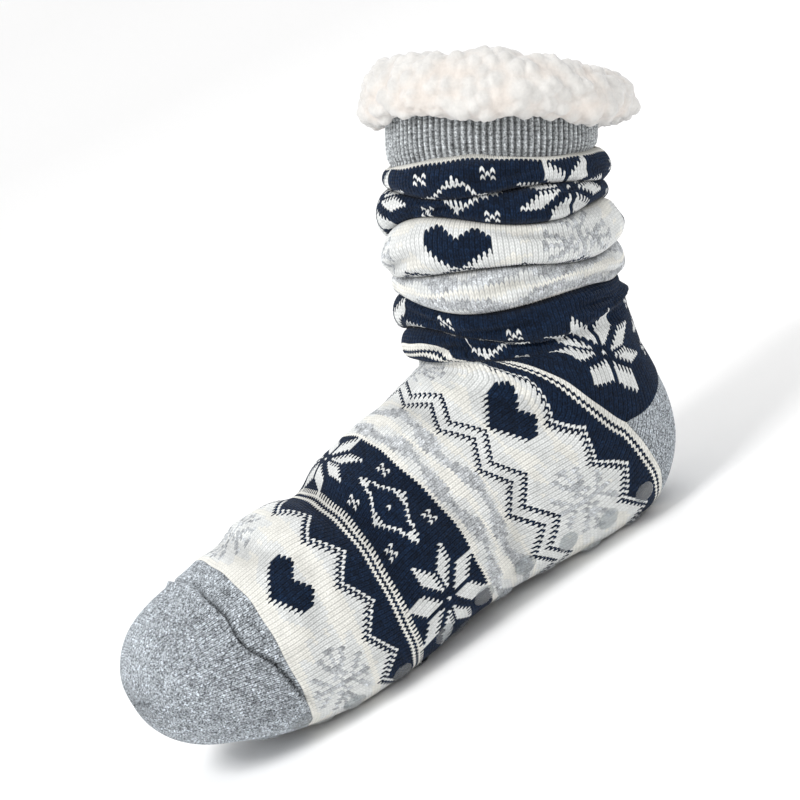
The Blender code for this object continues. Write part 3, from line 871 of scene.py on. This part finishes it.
def yarn_colors(chart, course, wale, leg, wale_shift=0):
    """Colours and yarns of faces from a chart. Each stitch is a little lighter or darker than the next.

    White stitches are cooler where the dark yarn runs behind them, near a motif in the same course.
    The legs of a dark stitch reach down over the paler one below it.
    """
    marked = chart != WHITE_YARN
    shifts = range(-FLOAT_REACH, FLOAT_REACH + 1)
    behind = np.any([np.roll(marked, shift, axis=1) for shift in shifts], axis=0)
    chart = np.where(behind & (chart == WHITE_YARN), COOL_YARN, chart)
    last = len(chart) - 1
    course = np.minimum(course, last)
    column = (wale + wale_shift) % REPEAT
    yarn = chart[course, column]
    above = chart[np.minimum(course + 1, last), column]
    below = chart[np.maximum(course - 1, 0), column]
    yarn = np.where(leg & (above == NAVY_YARN) & (below != NAVY_YARN), NAVY_YARN, yarn)
    mix = np.random.default_rng(BLEND_SEED).normal(size=(len(chart), WALES))
    tone = 1 + BLENDS[yarn] * np.clip(mix[course, wale % WALES], -BLEND_LIMIT, BLEND_LIMIT)
    return np.clip(YARNS[yarn] * tone[:, None], 0, 1), yarn


def new_material(name, inputs):
    """A material with the given inputs on its shader."""
    material = bpy.data.materials.new(name)
    material.use_nodes = True
    shader = material.node_tree.nodes["Principled BSDF"]
    for label, value in inputs.items():
        shader.inputs[label].default_value = value
    return material, shader


def fibre_material(name, fuzz, scale):
    """Yarn or fleece: colour from the chart, flecks in melange yarns, shade between the stitches."""
    material, shader = new_material(name, {
        "Roughness": 0.95,
        "Specular IOR Level": 0.08,
        "Sheen Weight": fuzz,
        "Sheen Roughness": 0.55,
        "Sheen Tint": (0.85, 0.88, 0.95, 1),
    })
    nodes, links = material.node_tree.nodes, material.node_tree.links

    def attribute(of, output="Fac"):
        node = nodes.new("ShaderNodeAttribute")
        node.attribute_name = of
        return node.outputs[output]

    def math_node(operation, first, second):
        node = nodes.new("ShaderNodeMath")
        node.operation = operation
        for socket, value in zip(node.inputs, (first, second)):
            if isinstance(value, (int, float)):
                socket.default_value = value
            else:
                links.new(value, socket)
        return node.outputs["Value"]

    def times(first, second):
        return math_node("MULTIPLY", first, second)

    def speckle(frequency):
        node = nodes.new("ShaderNodeTexNoise")
        node.inputs["Scale"].default_value = frequency
        node.inputs["Detail"].default_value = 3
        links.new(place.outputs["Object"], node.inputs["Vector"])
        return node.outputs["Fac"]

    place = nodes.new("ShaderNodeTexCoord")
    fine, broad = speckle(scale), speckle(PATCH_SCALE)
    flecks = times(times(math_node("SUBTRACT", fine, 0.5), FLECK_CONTRAST), attribute("fleck"))
    patches = times(math_node("SUBTRACT", broad, 0.5), PATCH_CONTRAST)
    total = math_node("ADD", math_node("ADD", flecks, patches), 1.0)
    total = math_node("MAXIMUM", total, DARKEST_FLECK)
    # Painted shade between the stitches: darker towards both ends of each course and in the gaps between the
    # legs, as deep as each yarn's gap shade; the shade attribute adds the painted shade of creases, dents and
    # the seam groove
    within = math_node("FRACT", attribute("course"), 0.0)
    plump = math_node("SINE", times(within, math.pi), 0.0)
    plump = math_node("ADD", times(plump, 1 - ROW_GAP_LIGHT), ROW_GAP_LIGHT)
    plump = times(plump, attribute("across"))
    painted_gap_shade = times(math_node("SUBTRACT", 1.0, plump), attribute("gap_shade"))
    total = times(times(total, math_node("SUBTRACT", 1.0, painted_gap_shade)), attribute("shade"))
    tint = nodes.new("ShaderNodeVectorMath")
    tint.operation = "SCALE"
    links.new(attribute("yarn", "Color"), tint.inputs[0])
    links.new(total, tint.inputs["Scale"])
    links.new(tint.outputs["Vector"], shader.inputs["Base Color"])
    bump = nodes.new("ShaderNodeBump")
    bump.inputs["Strength"].default_value = GRAIN_STRENGTH
    bump.inputs["Distance"].default_value = GRAIN_HEIGHT
    links.new(math_node("ADD", fine, plump), bump.inputs["Height"])
    links.new(bump.outputs["Normal"], shader.inputs["Normal"])
    return material


def plain_chart(yarn):
    """Colours of a piece in one yarn."""
    return lambda *places: yarn_colors(np.full((PLAIN_COURSES, REPEAT), yarn), *places)


def knit_bands(name, material, lines, charts, shift):
    """One piece of patterned knit, a chart to each band between two of its lines."""
    marks = [line_on_wales(line) for line in lines]
    rows, filled = [], []
    for number, make_chart in enumerate(charts):
        courses = side_courses(lines[number], lines[number + 1])
        filled.append(make_chart(courses))
        rows.append(course_rows(marks[number], marks[number + 1], courses)[:-1])
    rows.append(marks[-1][None, :])
    heights = np.concatenate(rows)
    whole = np.concatenate(filled)
    stitched(name, material, heights, wale_angles(heights),
             lambda *places: yarn_colors(whole, *places, shift))


def knit_toe(wool):
    rows, tip, crowding = 109, 0.01, 1.15
    share = np.linspace(0, 1, rows)[:, None]
    edge = line_on_wales(FOOT_LINES[0])
    heights = tip + (edge - tip) * share**crowding
    stitched("knit_toe", wool, heights, wale_angles(heights), plain_chart(GREY_YARN), split=2)


def knit_heel(wool):
    """The heel pocket, whose edges sink under the foot and the shaft."""
    rows, wales = 78, 60
    overlap_around, overlap_low, overlap_high = 0.03, 0.10, 0.12
    base_sink, edge_sink, edge_width = 0.0001, 0.0005, 0.22
    first = CORNER_ANGLE - overlap_around
    theta = np.linspace(first, math.tau - first, wales * WALE_COLUMNS + 1)
    low = line_height(FOOT_LINES[-1], theta) - overlap_low
    high = line_height(SHAFT_LINES[0], theta) + overlap_high
    share = np.linspace(0, 1, rows)[:, None]
    heights = low + (high - low) * share
    margin = np.minimum(share, 1 - share) * (high - low)
    sink = edge_sink * (1 - smooth(margin / edge_width)) + base_sink
    angles = np.broadcast_to(theta, heights.shape)
    stitched("knit_heel", wool, heights, angles, plain_chart(GREY_YARN), wrap=False, sink=sink)


def knit_cuff(wool):
    """The ribs of the cuff, with shade in the grooves between them."""
    rows, courses, rib_columns = 20, 12, 6
    rib_height, base, sink, groove_light = 0.0012, 0.0002, 0.0003, 0.20
    share = np.linspace(0, 1, rows)[:, None]
    heights = np.broadcast_to(CUFF_EDGE + share, (rows, COLUMNS))
    points = knit_points(heights, wale_angles(heights))
    ribs = 0.5 + 0.5 * np.cos(np.arange(COLUMNS) * math.tau / rib_columns)
    lift = (ribs * rib_height - base) * smooth(share * 6) - sink
    points = points + grid_normals(points) * lift[..., None]
    quads, uv, i, j = grid_faces(rows, COLUMNS)
    colors, yarn = plain_chart(RIB_YARN)(i, j // rib_columns, np.zeros(j.shape, bool))
    light = np.broadcast_to(groove_light + (1 - groove_light) * ribs, heights.shape)
    course = np.broadcast_to(share * courses, heights.shape)
    new_mesh("knit_cuff", points.reshape(-1, 3), quads, wool, ["knit_upper"], colors, uv,
             light, FLECKS[yarn], course=course, gap_shade=GAP_SHADES[yarn])


def knit_pieces():
    wool = fibre_material("wool", WOOL_FUZZ, WOOL_SCALE)
    knit_toe(wool)
    foot = (
        ground_chart, zigzag_chart, star_chart, chain_chart,
        double_zigzag_chart, ground_chart, zigzag_chart,
    )
    knit_bands("knit_foot", wool, FOOT_LINES, foot, FOOT_SHIFT)
    shaft = (
        lambda courses: star_chart(courses, ANKLE_STAR_COURSE),
        chain_chart,
        heart_roll_chart,
        upper_navy_chart,
        lambda courses: np.full((courses, REPEAT), WHITE_YARN),
    )
    knit_bands("knit_shaft", wool, SHAFT_LINES, shaft, SHAFT_SHIFT)
    knit_heel(wool)
    knit_cuff(wool)


def lining_pieces(material):
    """The fleece inside the foot and the shaft, seen through the collar."""
    columns, foot_rows, shaft_rows = 96, 90, 40
    clearance, curl, curl_scale, tone = 0.0002, 0.0004, 260, 0.92
    theta = np.arange(columns) * math.tau / columns
    foot = np.linspace(0.3, LAST_SECTION, foot_rows)
    shaft = np.linspace(LAST_SECTION + 0.2, RIM, shaft_rows)
    heights = np.concatenate([foot, shaft])[:, None]
    points = knit_points(heights, theta)
    inward = WALL + clearance - curl * grid_noise(points, curl_scale)
    inside = points - grid_normals(points) * inward[..., None]
    quads, uv = grid_faces(len(heights), columns)[:2]
    colors = np.broadcast_to(np.array(FLEECE) * tone, (len(quads), 3))
    new_mesh("inside_fleece", inside.reshape(-1, 3), quads[:, ::-1], material, ["knit_upper"],
             colors, uv[:, ::-1], fleck=0.1)


def collar_outline():
    """The roll from its lower edge to the lining's: share of the shaft, distance out, its uneven part."""
    outline = [(1 - ROLL_FOOT * COLLAR_OVERHANG / SHAFT_LENGTH, CUFF_STEP, 0)]
    for along, out in COLLAR_OUTER:
        reach = COLLAR_OVERHANG if along < 0 else COLLAR_HEIGHT
        place = 1 + reach * along / SHAFT_LENGTH
        outline.append((place, CUFF_STEP + GAP + COLLAR_OUTSIDE * out, COLLAR_OUTSIDE * out))
    lining = WALL + GAP + LINING_THICKNESS
    for along, out in COLLAR_INNER:
        outline.append((1 + COLLAR_HEIGHT * along / SHAFT_LENGTH, -lining * out, 0))
    for mark in LINING_MARKS:
        outline.append((1 - mark * LINING_DEPTH / SHAFT_LENGTH, -lining, 0))
    outline.append((1 - LINING_DEPTH / SHAFT_LENGTH, -lining + LINING_THICKNESS * LINING_END_SHARE, 0))
    return np.array(outline)


def fleece_roll(material):
    """The roll of fleece, with lumps where locks lie together."""
    rows, columns, fade_rows, samples, sink = 120, 620, 6, 600, 0.0012
    outline = collar_outline()
    marks = np.linspace(0, len(outline) - 1, samples)
    curve = catmull_rom(outline, marks)
    steps = np.linalg.norm(np.diff(curve * [SHAFT_LENGTH, 1, 0], axis=0), axis=1)
    length = np.concatenate([[0], np.cumsum(steps)])
    marks = np.interp(np.linspace(0, length[-1], rows), length, marks)
    curve = catmull_rom(outline, marks)
    theta = np.arange(columns) * math.tau / columns
    grid = np.broadcast_to(theta, (rows, columns))
    out = curve[:, 1:2] - curve[:, 2:] * COLLAR_UNEVEN * np.cos(grid)
    points = shaft_points(curve[:, :1] + 0 * grid, grid, out)
    lumps, shade_and_warmth = np.empty(grid.size), np.empty(grid.size)
    for number, point in enumerate(points.reshape(-1, 3)):
        place = Vector(point)
        warp = noise.noise_vector(place * WARP_SCALE) * WARP_REACH
        lock = noise.voronoi((place + warp) * LOCK_SCALE)[0][0]
        curl = noise.voronoi((place + warp * CURL_WARP) * CURL_SCALE)[0][0]
        lump = LOCK_RELIEF * smooth(1 - LOCK_SLIMNESS * lock) + CURL_RELIEF * (0.5 - curl)
        lumps[number] = lump + BILLOW_RELIEF * noise.noise(place * BILLOW_SCALE) - sink
        # Painted shade: warm beige in the crevices between the locks; the broad patches are the fleece's own
        # warmer tone
        patch = noise.noise(place * WARMTH_SCALE)
        shade_and_warmth[number] = CREVICE_SHADE_WARMTH * (lock - LOCK_MIDDLE) + PATCH_WARMTH * patch
    end = np.minimum(np.arange(rows), np.arange(rows)[::-1]) / fade_rows
    lift = lumps.reshape(grid.shape) * smooth(end)[:, None]
    points = points + grid_normals(points) * lift[..., None]
    quads, uv, i, j = grid_faces(rows, columns)
    shade_and_warm = np.clip(shade_and_warmth.reshape(grid.shape)[i, j], 0, MOST_WARMTH)[:, None]
    colors = np.array(FLEECE) * (1 - shade_and_warm) + np.array(WARM_FLEECE_AND_SHADE) * shade_and_warm
    new_mesh("fleece_roll", points.reshape(-1, 3), quads, material, ["sherpa_collar"], colors, uv,
             fleck=0.05)


def sole_place(y, x):
    """The point of the sole at a length and a width, and the direction straight out of the knit there."""
    numbers = np.linspace(0, LAST_SECTION, SOLE_SAMPLES)
    _, _, sole_y, _, widths, _, sole_powers = catmull_rom(SECTION_ROWS, numbers).T
    row = float(np.interp(y / FOOT_LENGTH, sole_y, numbers))
    width = np.interp(row, numbers, widths) * BALL_WIDTH / 2
    power = np.interp(row, numbers, sole_powers)
    turn = math.asin(min(abs(x) / width, 1) ** (power / 2))
    theta = math.pi - math.copysign(turn, x)
    heights = row + np.array([0, -ANGLE_STEP, ANGLE_STEP, 0, 0])
    angles = theta + np.array([0, 0, 0, -ANGLE_STEP, ANGLE_STEP])
    point, before, after, left, right = foot_points(heights, angles)
    normal = Vector(np.cross(right - left, after - before)).normalized()
    most = min(1, (point[2] - SOLE_LIFT) / (DOT_RADIUS * DOT_TOP_SHARE))
    level = Vector((normal.x, normal.y, 0))
    if level.length > most:
        level = level.normalized() * most
        normal = Vector((level.x, level.y, -math.sqrt(1 - most**2)))
    return Vector(point), normal


def silicone():
    return new_material("silicone", {
        "Base Color": (0.90, 0.95, 0.98, 1),
        "Roughness": 0.12,
        "IOR": 1.42,
        "Transmission Weight": 0.93,
        "Coat Weight": 0.6,
        "Coat Roughness": 0.08,
    })[0]


def grip_dots(material):
    """The dots, as low domes that sink into the stitches at their edges."""
    points, faces, names = [], [], []
    for column in range(DOT_COLUMNS):
        x = (column - (DOT_COLUMNS - 1) / 2) * DOT_PITCH_ACROSS
        y = DOT_FIRST_Y + (column % 2) * DOT_PITCH_LONG / 2
        while y <= DOT_LAST_Y:
            point, normal = sole_place(y, x)
            turn = normal.to_track_quat("Z", "Y").to_matrix().to_4x4()
            place = Matrix.Translation(point + normal * GAP) @ turn
            start, number = len(points), len(names)
            for reach, high in DOT_PROFILE:
                for side in range(DOT_SIDES):
                    angle = side * math.tau / DOT_SIDES
                    spread = 1 + DOT_UNEVEN * math.sin(2 * angle + number * DOT_UNEVEN_TURN)
                    out = DOT_RADIUS * reach * spread
                    local = Vector((out * math.cos(angle), out * math.sin(angle), DOT_THICKNESS * high))
                    points.append(tuple(place @ local))
            faces += band_faces(start, len(DOT_PROFILE), DOT_SIDES)
            for side in range(0, DOT_SIDES - 2, 2):
                faces.append((start, start + side + 1, start + side + 2, start + (side + 3) % DOT_SIDES))
            names.append(f"grip_dot_{number:02d}")
            y += DOT_PITCH_LONG
    return new_mesh("grip_dots", points, faces, material, names)


def make_floor():
    """A round floor whose edge curves up into the backdrop."""
    points = [(0.0, 0.0, 0.0)]
    for radius, high in FLOOR_RINGS:
        for side in range(FLOOR_SIDES):
            angle = side * math.tau / FLOOR_SIDES
            points.append((radius * math.cos(angle), radius * math.sin(angle), high))
    faces = [(0, 1 + side, 1 + (side + 1) % FLOOR_SIDES) for side in range(FLOOR_SIDES)]
    faces += band_faces(1, len(FLOOR_RINGS), FLOOR_SIDES)
    mesh = bpy.data.meshes.new("floor")
    mesh.from_pydata(points, [], faces)
    mesh.shade_smooth()
    inputs = {"Base Color": (1.0, 1.0, 1.0, 1), "Roughness": 0.9, "Specular IOR Level": 0.1}
    mesh.materials.append(new_material("floor", inputs)[0])
    new_object("floor", mesh)


def lights():
    for name, place, size, power in LAMPS:
        light = bpy.data.lights.new(name, "AREA")
        light.shape, light.size, light.energy = "SQUARE", size, power
        obj = new_object(name, light)
        obj.location = place
        obj.rotation_euler = (Vector(LAMP_TARGET) - Vector(place)).to_track_quat("-Z", "Y").to_euler()
    world = bpy.data.worlds.new("studio")
    bpy.context.scene.world = world
    world.use_nodes = True
    background = world.node_tree.nodes["Background"]
    background.inputs["Color"].default_value = (1, 1, 1, 1)
    background.inputs["Strength"].default_value = WORLD_STRENGTH
    bpy.context.scene.view_settings.view_transform = "Standard"


def camera():
    azimuth, elevation, roll = [math.radians(angle) for angle in (70, 14, 26)]
    level = math.cos(elevation)
    back = Vector((math.sin(azimuth) * level, -math.cos(azimuth) * level, math.sin(elevation)))
    target, distance = Vector((-0.0019, 0.0034, 0.0872)), 0.8563
    data = bpy.data.cameras.new("camera")
    data.lens = 100
    data.sensor_width = 36
    obj = new_object("camera", data)
    upright = (-back).to_track_quat("-Z", "Y").to_matrix()
    obj.rotation_euler = (upright @ Matrix.Rotation(-roll, 3, "Z")).to_euler()
    obj.location = target + back * distance
    bpy.context.scene.camera = obj


knit_pieces()
fleece = fibre_material("fleece", FLEECE_FUZZ, FLEECE_SCALE)
lining_pieces(fleece)
fleece_roll(fleece)
grip_dots(silicone())
make_floor()
lights()
camera()
